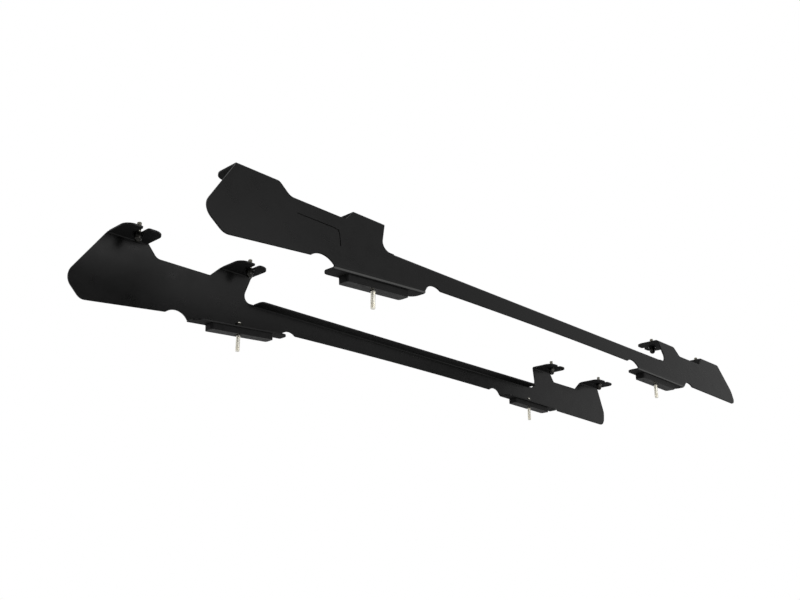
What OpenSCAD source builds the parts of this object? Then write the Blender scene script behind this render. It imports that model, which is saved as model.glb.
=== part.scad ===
// Pair of roof rails, left and right, mirror images of each other.
// Each rail is one laser-cut sheet: a tall front fin, four bolting tabs, a slim bar and two feet.
// Millimetres and degrees. X forward, Y left, Z up. The origin is the middle of the four roof studs.
// Heights of the outline are measured up the leaning web, from the bar's lower edge.

/* [Pair] */
// Distance between the two outer faces at the bars' lower edge.
pair_w = 384; // [300:1:1400]
// Height of the bars' lower edges above the origin.
bar_z = 40; // [36:1:60]
// Lean of each web towards the other rail.
web_lean = 8.7; // [0:0.1:15]
// Distance between the front and rear studs.
stud_pitch = 904; // [800:1:1000]
// Distance between the left and right studs.
stud_gap = 352; // [270:1:1370]

/* [Sheet] */
// Sheet thickness.
sheet_t = 3; // [2:0.5:5]
// Inside radius of every fold.
bend_r = 3; // [2:0.5:6]
// Height of the tabs' upper face.
tab_h = 89; // [80:0.5:110]
// Height of the neck between two neighbouring tabs.
neck_h = 66.8; // [60:0.1:75]
// Height of the slim bar between the feet.
bar_h = 36.8; // [25:0.1:50]
// Rise of the bar's lower edge between the feet, to clear the crowned roof.
bar_rise = 2.4; // [0:0.1:10]

/* [Tabs] */
// Reach of each tab's flange from the outer face.
tab_reach = 59; // [45:0.5:80]
// Free corner radius at the front of a tab.
tab_front_r = 18; // [2:0.5:25]
// Free corner radius at the rear of a tab.
tab_rear_r = 20; // [2:0.5:25]
// Width of the open slot in each tab.
slot_w = 9; // [8.5:0.1:12]
// Distance from the free edge to the bolt at the slot's closed end.
slot_l = 24; // [15:0.5:35]
// Radius of the slot's two mouth corners.
mouth_r = 4; // [1:0.5:8]

/* [Bar and feet] */
// Reach of the bar's top flange from the outer face.
bar_reach = 29; // [15:0.5:45]
// Free corner radius of the bar's flange.
bar_r = 8; // [2:0.5:15]
// Length of each foot flange.
foot_l = 209; // [150:1:240]
// Reach of each foot flange from the outer face.
foot_reach = 33; // [26:0.5:45]
// Free corner radius of the foot flanges.
foot_r = 14; // [2:0.5:20]
// Forward fall of the front feet, to follow the roof.
front_fall = 4; // [0:0.1:8]
// Rearward fall of the rear feet.
rear_fall = 1; // [0:0.1:8]

/* [Spacer blocks] */
// Length of a spacer block.
block_l = 140; // [60:1:200]
// Width of a spacer block.
block_w = 23; // [16:0.5:30]
// Height of a spacer block.
block_h = 12; // [5:0.5:30]
// Corner radius of a block in plan.
block_r = 5; // [0.5:0.5:8]
// Diameter of the stud's clearance hole in a block.
block_hole = 10.5; // [8.5:0.1:14]

/* [Fasteners] */
// Thread diameter of the studs and bolts.
thread_d = 8; // [6:1:10]
// Length of a roof stud.
stud_l = 56; // [45:1:90]
// Length of a roof stud below its block.
stud_out = 31; // [15:0.5:60]
// Diameter of the plain shank between the two threads of a stud or bolt.
shank_d = 7.2; // [5:0.1:9]
// Length of a tab bolt.
bolt_l = 32; // [25:1:60]
// Height of a tab bolt's end above the tab.
bolt_out = 16; // [8:0.5:30]
// Width across flats of the hexagons.
hex_af = 13; // [10:1:17]
// Height of a domed cap nut.
cap_h = 15; // [12:0.5:20]
// Height of a cap nut's hexagon.
cap_hex_h = 6.5; // [5:0.5:8]
// Diameter of the washers.
washer_d = 17; // [15:0.5:30]
// Thickness of the washers.
washer_t = 2; // [1:0.5:4]
// Height of a stud nut.
nut_h = 6.8; // [5:0.1:12]

/* [Hidden] */
$fn = 64;
eps = 1;
// How far each corner arc crosses its two sides, so that no sliver is left along a tangent.
cross = 0.005;
outer_r = bend_r + sheet_t;
top_turn = 90 - web_lean;
foot_turn = 90 + web_lean;
// Tab ends along the rail and the place of each tab's bolt.
tabs = [[655, 730], [429, 498], [-551, -478], [-781, -698]];
bolt_x = [693, 459, -514, -739];
bar_ends = [-464, 415];
slope = tab_h - neck_h;
// Narrowing of the two inner tabs towards the bar.
undercut = [15, 20];
// Feet: middle of the fold, height of the underside's outer corner and fall.
foot_x = [448.5, -457];
foot_v = [-23, -12];
foot_fall = [front_fall, -rear_fall];
block_x = [449.5, -452.5];
stud_x = [stud_pitch / 2, -stud_pitch / 2];
// Each foot's outer corner in the row's frame, and its upward normal.
foot_corner = [for (i = [0, 1])
    [foot_x[i], pair_w / 2 - foot_v[i] * sin(web_lean), bar_z + foot_v[i] * cos(web_lean)]];
foot_normal = [for (f = foot_fall)
    [cos(web_lean) * sin(f), sin(web_lean) * cos(web_lean) * (1 - cos(f)),
     pow(sin(web_lean), 2) + pow(cos(web_lean), 2) * cos(f)]];
// Bend reliefs: middle, crown height and radius of each arc.
reliefs = [[577.5, -13.2, 32], [321.8, 3.6, 27], [-327.1, 6.5, 31], [-583.5, 1.4, 26]];
// Scribed line on the neck: its four limits, width, corner radius and depth.
line_rear = 536;
line_front = 622;
line_low = 12;
line_top = 42.6;
line_w = 2;
line_r = 10;
line_depth = 1.2;
// Ends of the bar's lower edge, inside the reliefs.
bar_foot = [[308, -1.9], [-311, 0.8]];
tab_top = bar_z + tab_h * cos(web_lean);
tab_corner_y = pair_w / 2 - tab_h * sin(web_lean);
bar_top = bar_z + bar_h * cos(web_lean);
bar_corner_y = pair_w / 2 - bar_h * sin(web_lean);
bolt_y = tab_corner_y - tab_reach + slot_l;
stud_y = stud_gap / 2;
stud_top_thread = nut_h + 5;
// Radius of a hexagon's flat end faces and height of the chamfer round them.
hex_r = hex_af / 2 - 0.2;
hex_chamfer = 0.8;
// Chamfer at a thread's end and length of its run-out into the shank.
thread_chamfer = 1;
thread_runout = 0.4;
// How far a stud's lower thread ends below its block, and a bolt's upper one starts above its tab.
stud_clear = 1.5;
bolt_clear = 0.5;

// A point given in a foot's own plane, as a point of the web outline.
function foot_point(i, along, up) =
    [foot_x[i] + along * cos(foot_fall[i]) + up * sin(foot_fall[i]),
     foot_v[i] - along * sin(foot_fall[i]) + up * cos(foot_fall[i])];

// Height, at a stud's axis, of a plane that lies t above the foot's underside.
function foot_level(i, t) =
    foot_corner[i][2] + (t - foot_normal[i][0] * (stud_x[i] - foot_corner[i][0])
        - foot_normal[i][1] * (stud_y - foot_corner[i][1])) / foot_normal[i][2];

// The web's outline, clockwise from the top of the front fin, folds drawn sharp.
web_points = [
    [tabs[0][1], tab_h], [791.5, -5], [756.5, -37.5], [597, -20.9],
    foot_point(0, foot_l / 2, eps), foot_point(0, -foot_l / 2, eps), bar_foot[0],
    bar_foot[1], foot_point(1, foot_l / 2, eps), foot_point(1, -foot_l / 2, eps),
    [-600, -5.8], [-829, -10.5], [-825.5, 24.5], [tabs[3][0], tab_h],
    [tabs[3][1], tab_h], [tabs[3][1] + slope, neck_h],
    [tabs[2][0] - slope, neck_h], [tabs[2][0], tab_h],
    [tabs[2][1], tab_h], [tabs[2][1] - undercut[1], bar_h - eps],
    [tabs[1][0] + undercut[0], bar_h - eps], [tabs[1][0], tab_h],
    [tabs[1][1], tab_h], [tabs[1][1] + slope, neck_h],
    [tabs[0][0] - slope, neck_h], [tabs[0][0], tab_h]
];
// Corners of that outline by index, with their radii.
outside_corners = [[1, 24], [2, 20], [11, 15], [12, 30]];
inside_corners = [[15, 8], [16, 8], [19, 15], [20, 15], [23, 8], [24, 17]];

// The patch between a corner and its fillet arc, carried a little past the corner.
module corner_patch(corner, before, after, r) {
    to_before = (before - corner) / norm(before - corner);
    to_after = (after - corner) / norm(after - corner);
    half = acos(to_before * to_after) / 2;
    depth = r - cross;
    middle = corner + (to_before + to_after) / norm(to_before + to_after) * depth / sin(half);
    difference() {
        polygon([
            corner - (to_before + to_after) * eps,
            corner + to_before * depth / tan(half),
            middle,
            corner + to_after * depth / tan(half)
        ]);
        translate(middle) circle(r = r);
    }
}

// Corner patches of the web outline, from a list of [index, radius].
module web_patches(list) {
    last = len(web_points);
    for (c = list)
        corner_patch(web_points[c[0]], web_points[c[0] - 1], web_points[(c[0] + 1) % last], c[1]);
}

// What the shallow arch takes from the bar's lower edge, in short straight steps.
module bar_arch() {
    steps = 16;
    polygon([
        for (i = [0 : steps])
            bar_foot[0] + (bar_foot[1] - bar_foot[0]) * i / steps
                + [0, 4 * bar_rise * i * (steps - i) / pow(steps, 2)],
        bar_foot[1] - [0, 5], bar_foot[0] - [0, 5]
    ]);
}

// Flat outline of one web, ending just below the top of the folds.
module web_outline() {
    difference() {
        union() {
            polygon(web_points);
            web_patches(inside_corners);
        }
        web_patches(outside_corners);
        translate([tabs[3][0] - eps, tab_h - eps])
            square([tabs[0][1] - tabs[3][0] + 2 * eps, 2 * eps]);
        bar_arch();
        for (r = reliefs)
            translate([r[0], r[1] - r[2]]) circle(r = r[2]);
    }
}

// Shallow L-shaped line scribed on the outer face of the neck.
module scribed_line() {
    inner = [line_rear + line_w, line_top - line_w];
    difference() {
        translate([line_rear, line_low]) square([line_front - line_rear, line_top - line_low]);
        translate([inner[0], line_low - eps])
            square([line_front - line_rear, inner[1] - line_low + eps]);
        corner_patch([line_rear, line_top], [line_rear, line_low], [line_front, line_top], line_r);
    }
    corner_patch(inner, [inner[0], line_low], [line_front, inner[1]], line_r - line_w);
}

// Section of a fold's corner patch, the web below it and the flange turned inwards.
// Depth 0 gives what the outer bend takes away, the sheet's thickness what the inner bend fills.
module fold_section(turn, depth, r) {
    corner = [-depth, -depth * tan(turn / 2)];
    corner_patch(corner, corner + [0, -30], corner + 30 * [-sin(turn), cos(turn)], r);
}

// Runs a cross-section along X from one end to the other.
module along_x(from, to) {
    translate([from, 0, 0])
        rotate([90, 0, 90])
            linear_extrude(height = to - from) children();
}

// The patches of all seven folds, in the frame of the web. Over carries them past their flanges' ends.
module folds(depth, r, over) {
    bar_over = min(over, 0.5);
    for (t = tabs)
        along_x(t[0] - over, t[1] + over)
            translate([0, tab_h]) fold_section(top_turn, depth, r);
    along_x(bar_ends[0] - bar_over, bar_ends[1] + bar_over)
        translate([0, bar_h]) fold_section(top_turn, depth, r);
    for (i = [0, 1])
        translate([foot_x[i], 0, foot_v[i]])
            rotate([0, foot_fall[i], 0])
                along_x(-foot_l / 2 - over, foot_l / 2 + over)
                    mirror([0, 1]) fold_section(foot_turn, depth, r);
}

// Frame of the left web: X along the rail, Y out of the outer face, Z up the web.
module on_web() {
    translate([0, pair_w / 2, bar_z])
        rotate([web_lean, 0, 0]) children();
}

// Frame of a foot: origin at the outer corner of its underside, Z square to the flange.
module on_foot(i) {
    on_web()
        translate([foot_x[i], 0, foot_v[i]])
            rotate([0, foot_fall[i], 0])
                rotate([-web_lean, 0, 0]) children();
}

// Frame of a stud: upright, with its lower end at the origin.
module on_stud(i) {
    translate([stud_x[i], stud_y, foot_level(i, -block_h) - stud_out]) children();
}

// Plan of a flange between two ends, from its free edge to just inside the outer face.
module flange_plan(from, to, edge, root, rear_r, front_r) {
    difference() {
        translate([from, edge]) square([to - from, root - eps - edge]);
        corner_patch([from, edge], [from, root], [to, edge], rear_r);
        corner_patch([to, edge], [to, root], [from, edge], front_r);
    }
}

// Plan of one open slot with rounded mouth corners.
module slot_plan(edge) {
    half = slot_w / 2;
    translate([0, edge + slot_l]) circle(r = half);
    translate([-half, edge - eps]) square([slot_w, slot_l + eps]);
    corner_patch([half, edge], [half, edge + 20], [half + 20, edge], mouth_r);
    corner_patch([-half, edge], [-half, edge + 20], [-half - 20, edge], mouth_r);
}

// The seven flanges, flat parts of the same sheet.
module flanges() {
    free_y = tab_corner_y - tab_reach;
    translate([0, 0, tab_top - sheet_t])
        linear_extrude(height = sheet_t)
            difference() {
                for (t = tabs)
                    flange_plan(t[0], t[1], free_y, tab_corner_y, tab_rear_r, tab_front_r);
                for (x = bolt_x)
                    translate([x, 0]) slot_plan(free_y);
            }
    translate([0, 0, bar_top - sheet_t])
        linear_extrude(height = sheet_t)
            flange_plan(bar_ends[0], bar_ends[1], bar_corner_y - bar_reach, bar_corner_y, bar_r, bar_r);
    for (i = [0, 1])
        difference() {
            on_foot(i)
                linear_extrude(height = sheet_t)
                    flange_plan(-foot_l / 2, foot_l / 2, -foot_reach, 0, foot_r, foot_r);
            on_stud(i) cylinder(h = stud_l, d = thread_d + 1);
        }
}

// The left rail: web, four tabs, bar flange and two feet, all one folded sheet.
module rail() {
    difference() {
        union() {
            on_web() {
                rotate([90, 0, 0])
                    linear_extrude(height = sheet_t) web_outline();
                folds(sheet_t, bend_r, -0.5);
            }
            flanges();
        }
        on_web() {
            folds(0, outer_r, 10);
            translate([0, eps, 0])
                rotate([90, 0, 0])
                    linear_extrude(height = line_depth + eps) scribed_line();
        }
    }
}

// Rectangle with round corners, centred.
module round_plan(l, w, r) {
    square([l - 2 * r, w], center = true);
    square([l, w - 2 * r], center = true);
    for (x = [-1, 1], y = [-1, 1])
        translate([x * (l / 2 - r), y * (w / 2 - r)]) circle(r = r);
}

// Long spacer block under a foot, with the stud's clearance hole.
module block(i) {
    difference() {
        on_foot(i)
            translate([block_x[i] - foot_x[i], stud_y - foot_corner[i][1], -block_h])
                linear_extrude(height = block_h) round_plan(block_l, block_w, block_r);
        on_stud(i) cylinder(h = stud_l, d = block_hole);
    }
}

// Hexagon, flats facing X.
module hexagon(af) {
    intersection_for (a = [0, 60, 120])
        rotate(a) square([af, 2 * af], center = true);
}

// Hexagon body with both faces chamfered round.
module chamfered_hexagon(h) {
    rim_r = hex_r + hex_chamfer * 1.75;
    intersection() {
        linear_extrude(height = h) hexagon(hex_af);
        rotate_extrude()
            polygon([
                [0, 0], [hex_r, 0], [rim_r, hex_chamfer],
                [rim_r, h - hex_chamfer], [hex_r, h], [0, h]
            ]);
    }
}

// Bar of a given length with chamfered ends, threaded up to one height and above another, plain between.
module threaded_bar(l, low, high) {
    r = thread_d / 2;
    rotate_extrude()
        polygon([
            [0, 0], [r - thread_chamfer, 0], [r, thread_chamfer],
            [r, low - thread_runout], [shank_d / 2, low],
            [shank_d / 2, high], [r, high + thread_runout],
            [r, l - thread_chamfer], [r - thread_chamfer, l], [0, l]
        ]);
}

// Roof stud. All four stand upright, so that the rails drop straight on.
module stud(i) {
    on_stud(i)
        threaded_bar(stud_l, stud_out - stud_clear, stud_l - stud_top_thread);
}

// Nut on a stud. The foot falls a little, so the upright nut bears on it with one side of its lower rim.
module stud_nut(i) {
    steep = norm([foot_normal[i][0], foot_normal[i][1]]) / foot_normal[i][2];
    translate([stud_x[i], stud_y, foot_level(i, sheet_t) + hex_r * steep])
        difference() {
            chamfered_hexagon(nut_h);
            translate([0, 0, -eps]) cylinder(h = nut_h + 2 * eps, d = thread_d);
        }
}

// Place of one tab bolt, on the tab's upper face.
module on_tab(i) {
    translate([bolt_x[i], bolt_y, tab_top]) children();
}

// Tab bolt, drawn from its upper end down: one thread stands above the tab for the rack,
// the other sits in the cap nut.
module bolt(i) {
    on_tab(i)
        translate([0, 0, bolt_out])
            mirror([0, 0, 1])
                threaded_bar(bolt_l, bolt_out - bolt_clear, bolt_out + sheet_t + washer_t);
}

// Washer under a tab.
module washer(i) {
    on_tab(i)
        translate([0, 0, -sheet_t - washer_t])
            difference() {
                cylinder(h = washer_t, d = washer_d);
                translate([0, 0, -eps]) cylinder(h = washer_t + 2 * eps, d = thread_d + 0.4);
            }
}

// Domed cap nut under a washer, blind bored for the bolt.
module cap_nut(i) {
    dome_r = hex_r - 0.1;
    on_tab(i)
        translate([0, 0, -sheet_t - washer_t])
            mirror([0, 0, 1])
                difference() {
                    union() {
                        chamfered_hexagon(cap_hex_h);
                        rotate_extrude() {
                            square([dome_r, cap_h - dome_r]);
                            intersection() {
                                translate([0, cap_h - dome_r]) circle(r = dome_r);
                                square([dome_r, cap_h]);
                            }
                        }
                    }
                    translate([0, 0, -eps])
                        cylinder(h = eps + bolt_l - bolt_out - sheet_t - washer_t, d = thread_d);
                }
}

// The four washers or cap nuts of one rail.
module four_washers() {
    for (i = [0:3]) washer(i);
}
module four_cap_nuts() {
    for (i = [0:3]) cap_nut(i);
}

// The right-hand copy of a left-hand piece.
module right() {
    mirror([0, 1, 0]) children();
}

black = [0.07, 0.07, 0.07];
rubber = [0.12, 0.12, 0.12];
zinc = [0.75, 0.75, 0.7];
module left_rail() color(black) rail();
module right_rail() color(black) right() rail();
module left_front_block() color(rubber) block(0);
module left_rear_block() color(rubber) block(1);
module right_front_block() color(rubber) right() block(0);
module right_rear_block() color(rubber) right() block(1);
module left_front_stud() color(zinc) stud(0);
module left_rear_stud() color(zinc) stud(1);
module right_front_stud() color(zinc) right() stud(0);
module right_rear_stud() color(zinc) right() stud(1);
module left_front_stud_nut() color(black) stud_nut(0);
module left_rear_stud_nut() color(black) stud_nut(1);
module right_front_stud_nut() color(black) right() stud_nut(0);
module right_rear_stud_nut() color(black) right() stud_nut(1);
module left_bolt_1() color(zinc) bolt(0);
module left_bolt_2() color(zinc) bolt(1);
module left_bolt_3() color(zinc) bolt(2);
module left_bolt_4() color(zinc) bolt(3);
module right_bolt_1() color(zinc) right() bolt(0);
module right_bolt_2() color(zinc) right() bolt(1);
module right_bolt_3() color(zinc) right() bolt(2);
module right_bolt_4() color(zinc) right() bolt(3);
module left_washers() color(black) four_washers();
module right_washers() color(black) right() four_washers();
module left_cap_nuts() color(black) four_cap_nuts();
module right_cap_nuts() color(black) right() four_cap_nuts();

left_rail();
right_rail();
left_front_block();
left_rear_block();
right_front_block();
right_rear_block();
left_front_stud();
left_rear_stud();
right_front_stud();
right_rear_stud();
left_front_stud_nut();
left_rear_stud_nut();
right_front_stud_nut();
right_rear_stud_nut();
left_bolt_1();
left_bolt_2();
left_bolt_3();
left_bolt_4();
right_bolt_1();
right_bolt_2();
right_bolt_3();
right_bolt_4();
left_washers();
right_washers();
left_cap_nuts();
right_cap_nuts();
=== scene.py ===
# Looks of a pair of roof rails: materials, threads, floor, light and camera around the fixed frame.
import math

import bmesh
import bpy
from mathutils import Matrix, Vector


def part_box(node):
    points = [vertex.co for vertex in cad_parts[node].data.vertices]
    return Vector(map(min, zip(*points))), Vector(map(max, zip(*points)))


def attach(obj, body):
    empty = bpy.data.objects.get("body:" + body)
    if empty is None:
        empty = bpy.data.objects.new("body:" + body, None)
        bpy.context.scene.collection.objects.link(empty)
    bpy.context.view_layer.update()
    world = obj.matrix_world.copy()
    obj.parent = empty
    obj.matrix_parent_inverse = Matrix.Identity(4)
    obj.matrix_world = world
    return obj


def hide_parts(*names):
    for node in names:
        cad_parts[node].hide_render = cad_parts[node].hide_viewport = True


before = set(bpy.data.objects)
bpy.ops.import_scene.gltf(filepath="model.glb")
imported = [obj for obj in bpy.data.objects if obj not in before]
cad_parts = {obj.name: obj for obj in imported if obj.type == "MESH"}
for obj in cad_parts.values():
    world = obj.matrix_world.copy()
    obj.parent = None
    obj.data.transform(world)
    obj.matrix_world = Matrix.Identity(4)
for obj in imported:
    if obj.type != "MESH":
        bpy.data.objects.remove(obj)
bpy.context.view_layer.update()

MM = 0.001
# Coarse thread of an 8 mm stud.
PITCH = 1.25 * MM
THREAD_R = 4.0 * MM
ROOT_R = 3.35 * MM
SHANK_R = 3.6 * MM
CHAMFER = 1.0 * MM
# One turn of the thread: how far along the pitch, and the radius there.
THREAD_PROFILE = [
    (0.0, ROOT_R), (0.12, ROOT_R), (0.44, THREAD_R), (0.56, THREAD_R), (0.88, ROOT_R),
]
AROUND = 28
# Length of each threaded bar, and the two heights between which it is a plain shank.
STUD_LENGTH, STUD_SHANK = 56 * MM, (29.5 * MM, 44.2 * MM)
BOLT_LENGTH, BOLT_SHANK = 32 * MM, (11 * MM, 16.5 * MM)

# Plate tints, linear red, green and blue.
ZINC_TINTS = [(0.93, 0.89, 0.78), (0.96, 0.94, 0.86), (0.92, 0.91, 0.87)]
DULL_ZINC_TINTS = [(0.26, 0.25, 0.21), (0.33, 0.32, 0.28), (0.28, 0.28, 0.26)]
BLACK_ZINC_TINTS = [(0.02, 0.02, 0.019), (0.034, 0.033, 0.03), (0.024, 0.024, 0.023)]
# Colour of the painted highlight along the outer fold under each foot.
FOLD_HIGHLIGHT_TINT = (0.085, 0.085, 0.083)

# Height of the floor, and half of its width.
FLOOR_Z = -0.62
FLOOR_HALF = 6.0
# Soft square lamps that point at the middle of the part: place, size in metres, power in watts.
LAMPS = {
    "key": ((1.5, -0.5, 2.6), (2.0, 2.0), 40),
    "fill": ((-0.5, 3.0, 1.2), (2.0, 2.0), 25),
}
# The view found from the photograph's outlines.
SENSOR_WIDTH = 36
PICTURE_WIDTH = 800
FOCUS_IN_PIXELS = 920.57
CAMERA_AT = (1.4228, 1.1589, -0.4942)
CAMERA_RIGHT = (-0.68903, 0.72473, 0.00107)
CAMERA_DOWN = (-0.24024, -0.22701, -0.94380)
CAMERA_AHEAD = (-0.68376, -0.65056, 0.33053)


# Shader helpers
def new_material(name):
    mat = bpy.data.materials.new(name)
    mat.use_nodes = True
    tree = mat.node_tree
    tree.nodes.clear()
    out = tree.nodes.new("ShaderNodeOutputMaterial")
    shader = tree.nodes.new("ShaderNodeBsdfPrincipled")
    tree.links.new(shader.outputs[0], out.inputs[0])
    return mat, tree, shader


def noise(tree, scale, detail):
    """Noise in object coordinates; scale is in cells a metre."""
    coord = tree.nodes.new("ShaderNodeTexCoord")
    tex = tree.nodes.new("ShaderNodeTexNoise")
    tex.inputs["Scale"].default_value = scale
    tex.inputs["Detail"].default_value = detail
    tree.links.new(coord.outputs["Object"], tex.inputs["Vector"])
    return tex.outputs["Fac"]


def ramp(tree, fac, stops):
    node = tree.nodes.new("ShaderNodeValToRGB")
    marks = node.color_ramp.elements
    while len(marks) < len(stops):
        marks.new(0.5)
    for mark, (place, colour) in zip(marks, stops):
        mark.position = place
        mark.color = (*colour, 1)
    tree.links.new(fac, node.inputs[0])
    return node.outputs[0]


def span(tree, fac, low, high, from_low=0.3, from_high=0.7):
    node = tree.nodes.new("ShaderNodeMapRange")
    ends = {"From Min": from_low, "From Max": from_high, "To Min": low, "To Max": high}
    for key, value in ends.items():
        node.inputs[key].default_value = value
    tree.links.new(fac, node.inputs["Value"])
    return node.outputs[0]


def times(tree, first, second):
    """Product of two colours."""
    node = tree.nodes.new("ShaderNodeVectorMath")
    node.operation = "MULTIPLY"
    tree.links.new(first, node.inputs[0])
    tree.links.new(second, node.inputs[1])
    return node.outputs[0]


def bump(tree, height, strength, distance, normal):
    node = tree.nodes.new("ShaderNodeBump")
    node.inputs["Strength"].default_value = strength
    node.inputs["Distance"].default_value = distance
    tree.links.new(height, node.inputs["Height"])
    tree.links.new(normal, node.inputs["Normal"])
    return node.outputs[0]


def soft_edges(tree, radius):
    node = tree.nodes.new("ShaderNodeBevel")
    node.samples = 6
    node.inputs["Radius"].default_value = radius
    return node.outputs[0]


def painted_crevice_shade(tree, reach, dark, light):
    """Painted shade: dark in grooves and inner corners nearer than reach, light elsewhere."""
    node = tree.nodes.new("ShaderNodeAmbientOcclusion")
    node.samples = 8
    node.only_local = True
    node.inputs["Distance"].default_value = reach
    return ramp(tree, node.outputs["AO"], [(0.72, (dark,) * 3), (0.97, (light,) * 3)])


def more_below(tree, value, extra):
    """Adds extra to a value on faces that look down."""
    geometry = tree.nodes.new("ShaderNodeNewGeometry")
    split = tree.nodes.new("ShaderNodeSeparateXYZ")
    tree.links.new(geometry.outputs["Normal"], split.inputs[0])
    added = span(tree, split.outputs["Z"], extra, 0.0, -0.95, -0.8)
    node = tree.nodes.new("ShaderNodeMath")
    node.operation = "ADD"
    tree.links.new(value, node.inputs[0])
    tree.links.new(added, node.inputs[1])
    return node.outputs[0]


def fold_highlight_mask(tree):
    """Mask of the painted highlight: 1 where the sheet turns from the web under a foot, on its
    outer side; 0 elsewhere.
    """
    geometry = tree.nodes.new("ShaderNodeNewGeometry")
    facing = tree.nodes.new("ShaderNodeSeparateXYZ")
    tree.links.new(geometry.outputs["Normal"], facing.inputs[0])
    coord = tree.nodes.new("ShaderNodeTexCoord")
    place = tree.nodes.new("ShaderNodeSeparateXYZ")
    tree.links.new(coord.outputs["Object"], place.inputs[0])
    mask = span(tree, facing.outputs["Z"], 0.0, 1.0, -0.4, -0.6)
    for value, low, high in (
        (facing.outputs["Z"], -0.93, -0.8),
        (facing.outputs["X"], 0.3, 0.15),
        (facing.outputs["X"], -0.3, -0.15),
        (place.outputs["Z"], 50 * MM, 44 * MM),
    ):
        mask = times(tree, mask, span(tree, value, 0.0, 1.0, low, high))
    return mask


def paint_highlight(tree, colour, mask, highlight_tint):
    """A colour with a painted highlight: paler where the mask is 1."""
    node = tree.nodes.new("ShaderNodeMix")
    node.data_type = "RGBA"
    tree.links.new(mask, node.inputs[0])
    tree.links.new(colour, node.inputs[6])
    node.inputs[7].default_value = (*highlight_tint, 1)
    return node.outputs[2]


# Materials
def powder_coat():
    mat, tree, bsdf = new_material("black_powder_coat")
    link = tree.links.new
    cloud = ramp(tree, noise(tree, 9, 3), [(0.3, (0.0022,) * 3), (0.7, (0.0032,) * 3)])
    # The coat's own cloudy tone, darkened by painted shade in grooves and inner corners.
    coat = times(tree, cloud, painted_crevice_shade(tree, 3 * MM, 0.15, 1.0))
    # Painted highlight along the outer fold under each foot, standing in for a reflection.
    link(paint_highlight(tree, coat, fold_highlight_mask(tree), FOLD_HIGHLIGHT_TINT), bsdf.inputs["Base Color"])
    even = span(tree, noise(tree, 38, 4), 0.26, 0.34)
    link(more_below(tree, even, 0.5), bsdf.inputs["Roughness"])
    bsdf.inputs["IOR"].default_value = 1.5
    bsdf.inputs["Specular IOR Level"].default_value = 0.18
    edge = soft_edges(tree, 0.6 * MM)
    wave = bump(tree, noise(tree, 55, 1), 0.25, 0.12 * MM, edge)
    peel = bump(tree, noise(tree, 700, 2), 0.25, 0.05 * MM, wave)
    link(peel, bsdf.inputs["Normal"])
    return mat


def rubber():
    mat, tree, bsdf = new_material("black_rubber")
    link = tree.links.new
    tone = ramp(tree, noise(tree, 60, 4), [(0.3, (0.003,) * 3), (0.7, (0.006,) * 3)])
    link(tone, bsdf.inputs["Base Color"])
    link(span(tree, noise(tree, 150, 3), 0.42, 0.55), bsdf.inputs["Roughness"])
    bsdf.inputs["Specular IOR Level"].default_value = 0.12
    grain = bump(tree, noise(tree, 1500, 3), 0.35, 0.06 * MM, soft_edges(tree, 0.8 * MM))
    link(grain, bsdf.inputs["Normal"])
    return mat


def plated(name, tints):
    """Plated steel with a faint change of tint and polish."""
    mat, tree, bsdf = new_material(name)
    link = tree.links.new
    stops = list(zip((0.3, 0.55, 0.75), tints))
    link(ramp(tree, noise(tree, 130, 3), stops), bsdf.inputs["Base Color"])
    bsdf.inputs["Metallic"].default_value = 1.0
    link(span(tree, noise(tree, 420, 4), 0.2, 0.32), bsdf.inputs["Roughness"])
    grain = bump(tree, noise(tree, 1800, 2), 0.2, 0.02 * MM, soft_edges(tree, 0.3 * MM))
    link(grain, bsdf.inputs["Normal"])
    return mat


def dress(obj, mat):
    if not obj.material_slots:
        obj.data.materials.append(mat)
    for slot in obj.material_slots:
        slot.material = mat


BLACK = powder_coat()
RUBBER = rubber()
ZINC = plated("zinc_plate", ZINC_TINTS)
DULL_ZINC = plated("dull_zinc_plate", DULL_ZINC_TINTS)
BLACK_ZINC = plated("black_zinc_plate", BLACK_ZINC_TINTS)
# By the last word of a node's name.
LOOKS = {
    "rail": BLACK,
    "block": RUBBER,
    "nut": BLACK_ZINC,
    "nuts": BLACK_ZINC,
    "washers": BLACK_ZINC,
}
for name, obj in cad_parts.items():
    dress(obj, LOOKS.get(name.split("_")[-1], ZINC))


# Threads
def thread_mesh(name, length, plain):
    """A right-hand thread about Z with chamfered ends and a plain shank between two heights.

    Each row of points is one turn's profile, carried on by a small angle, and cut off at the ends.
    """
    turns = length / PITCH
    rows = int(math.ceil((turns + 1) * AROUND)) + 1
    per = len(THREAD_PROFILE)
    bm = bmesh.new()
    verts = []
    for i in range(rows):
        angle = 2 * math.pi * i / AROUND
        for along, radius in THREAD_PROFILE:
            z = min(max((i / AROUND - 1 + along) * PITCH, 0.0), length)
            r = SHANK_R if plain[0] < z < plain[1] else radius
            r = min(r, THREAD_R - CHAMFER + min(z, length - z))
            place = (r * math.cos(angle), r * math.sin(angle), z - length / 2)
            verts.append(bm.verts.new(place))
    for i in range(rows - 1):
        for k in range(per):
            a = i * per + k
            b = a + 1 if k < per - 1 else (i + AROUND) * per
            if b + per < len(verts):
                bm.faces.new([verts[a], verts[a + per], verts[b + per], verts[b]])
    bmesh.ops.remove_doubles(bm, verts=bm.verts, dist=0.002 * MM)
    bmesh.ops.dissolve_degenerate(bm, edges=bm.edges, dist=0.002 * MM)
    bmesh.ops.holes_fill(bm, edges=bm.edges, sides=0)
    bmesh.ops.recalc_face_normals(bm, faces=bm.faces)
    mesh = bpy.data.meshes.new(name)
    bm.to_mesh(mesh)
    bm.free()
    mesh.polygons.foreach_set("use_smooth", [True] * len(mesh.polygons))
    mesh.set_sharp_from_angle(angle=math.radians(28))
    return mesh


def threaded_piece(node, mesh, mat):
    """Stands a threaded bar in the place of an upright CAD bar."""
    low, high = (Vector(c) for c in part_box(node))
    obj = bpy.data.objects.new(node + "_threaded", mesh)
    bpy.context.collection.objects.link(obj)
    obj.location = (low + high) / 2
    dress(obj, mat)
    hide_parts(node)
    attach(obj, "root")


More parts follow.
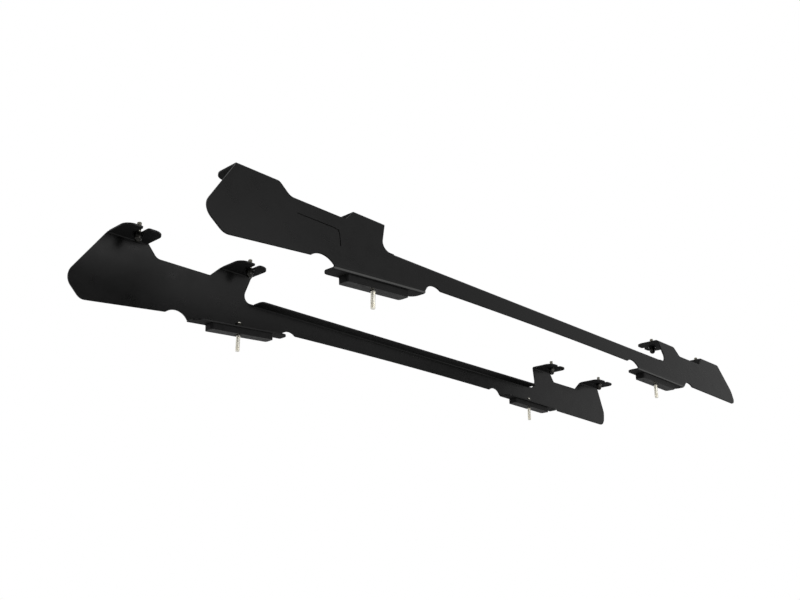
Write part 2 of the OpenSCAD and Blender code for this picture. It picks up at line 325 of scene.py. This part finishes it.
stud_mesh = thread_mesh("stud_thread", STUD_LENGTH, STUD_SHANK)
bolt_mesh = thread_mesh("bolt_thread", BOLT_LENGTH, BOLT_SHANK)
for side in ("left", "right"):
    for end in ("front", "rear"):
        threaded_piece(f"{side}_{end}_stud", stud_mesh, ZINC)
    for number in (1, 2, 3, 4):
        threaded_piece(f"{side}_bolt_{number}", bolt_mesh, DULL_ZINC)


# Floor, world and lamps
def add_all(tree, outputs):
    """Sum of several light path outputs, at most 1."""
    total = outputs[0]
    for other in outputs[1:]:
        node = tree.nodes.new("ShaderNodeMath")
        node.operation = "ADD"
        node.use_clamp = True
        tree.links.new(total, node.inputs[0])
        tree.links.new(other, node.inputs[1])
        total = node.outputs[0]
    return total


def shown_rays(tree):
    """1 for the rays that show the background: camera, glossy and transmission rays."""
    path = tree.nodes.new("ShaderNodeLightPath")
    kinds = ("Is Camera Ray", "Is Glossy Ray", "Is Transmission Ray")
    return add_all(tree, [path.outputs[kind] for kind in kinds])


def floor():
    """A plain pale floor, which keeps the object's shadow."""
    mat, _, bsdf = new_material("studio_floor")
    bsdf.inputs["Base Color"].default_value = (0.8, 0.8, 0.8, 1)
    bsdf.inputs["Roughness"].default_value = 1.0
    bsdf.inputs["Specular IOR Level"].default_value = 0.0
    mesh = bpy.data.meshes.new("floor")
    around = [(-1, -1), (1, -1), (1, 1), (-1, 1)]
    corners = [(x * FLOOR_HALF, y * FLOOR_HALF, FLOOR_Z) for x, y in around]
    mesh.from_pydata(corners, [], [(0, 1, 2, 3)])
    mesh.materials.append(mat)
    obj = bpy.data.objects.new("floor", mesh)
    bpy.context.collection.objects.link(obj)


def world_light():
    """Soft daylight on the object; white where the background is seen."""
    world = bpy.data.worlds.new("world")
    bpy.context.scene.world = world
    world.use_nodes = True
    tree = world.node_tree
    tree.nodes.clear()
    link = tree.links.new
    out = tree.nodes.new("ShaderNodeOutputWorld")
    soft = tree.nodes.new("ShaderNodeBackground")
    soft.inputs["Color"].default_value = (0.55, 0.55, 0.55, 1)
    coord = tree.nodes.new("ShaderNodeTexCoord")
    split = tree.nodes.new("ShaderNodeSeparateXYZ")
    link(coord.outputs["Generated"], split.inputs[0])
    stops = [(0.0, (1.0,) * 3), (0.12, (0.95,) * 3), (0.32, (0.5,) * 3), (0.6, (0.42,) * 3)]
    shade = tree.nodes.new("ShaderNodeBackground")
    link(ramp(tree, split.outputs["Z"], stops), shade.inputs["Color"])
    white = tree.nodes.new("ShaderNodeBackground")
    white.inputs["Color"].default_value = (1, 1, 1, 1)
    path = tree.nodes.new("ShaderNodeLightPath")
    seen = tree.nodes.new("ShaderNodeMixShader")
    link(path.outputs["Is Camera Ray"], seen.inputs[0])
    link(shade.outputs[0], seen.inputs[1])
    link(white.outputs[0], seen.inputs[2])
    mix = tree.nodes.new("ShaderNodeMixShader")
    link(shown_rays(tree), mix.inputs[0])
    link(soft.outputs[0], mix.inputs[1])
    link(seen.outputs[0], mix.inputs[2])
    link(mix.outputs[0], out.inputs[0])


def area_lamp(name, at, size, power):
    data = bpy.data.lights.new(name, "AREA")
    data.shape = "RECTANGLE"
    data.size, data.size_y = size
    data.energy = power
    obj = bpy.data.objects.new(name, data)
    bpy.context.collection.objects.link(obj)
    obj.location = at
    obj.rotation_euler = (-Vector(at)).to_track_quat("-Z", "Y").to_euler()


def camera_from_fit():
    """Stands the camera where the photograph was taken from, in metres."""
    cam = bpy.data.cameras.new("camera")
    cam.sensor_width = SENSOR_WIDTH
    cam.sensor_fit = "HORIZONTAL"
    cam.lens = FOCUS_IN_PIXELS / PICTURE_WIDTH * SENSOR_WIDTH
    cam.clip_start = 0.01
    cam.clip_end = 100
    obj = bpy.data.objects.new("camera", cam)
    bpy.context.collection.objects.link(obj)
    axes = (Vector(CAMERA_RIGHT), -Vector(CAMERA_DOWN), -Vector(CAMERA_AHEAD))
    turn = Matrix(axes).transposed()
    obj.matrix_world = Matrix.Translation(CAMERA_AT) @ turn.to_4x4()
    bpy.context.scene.camera = obj


camera_from_fit()
world_light()
floor()
for lamp, (at, size, power) in LAMPS.items():
    area_lamp(lamp, at, size, power)
bpy.context.scene.view_settings.view_transform = "Standard"
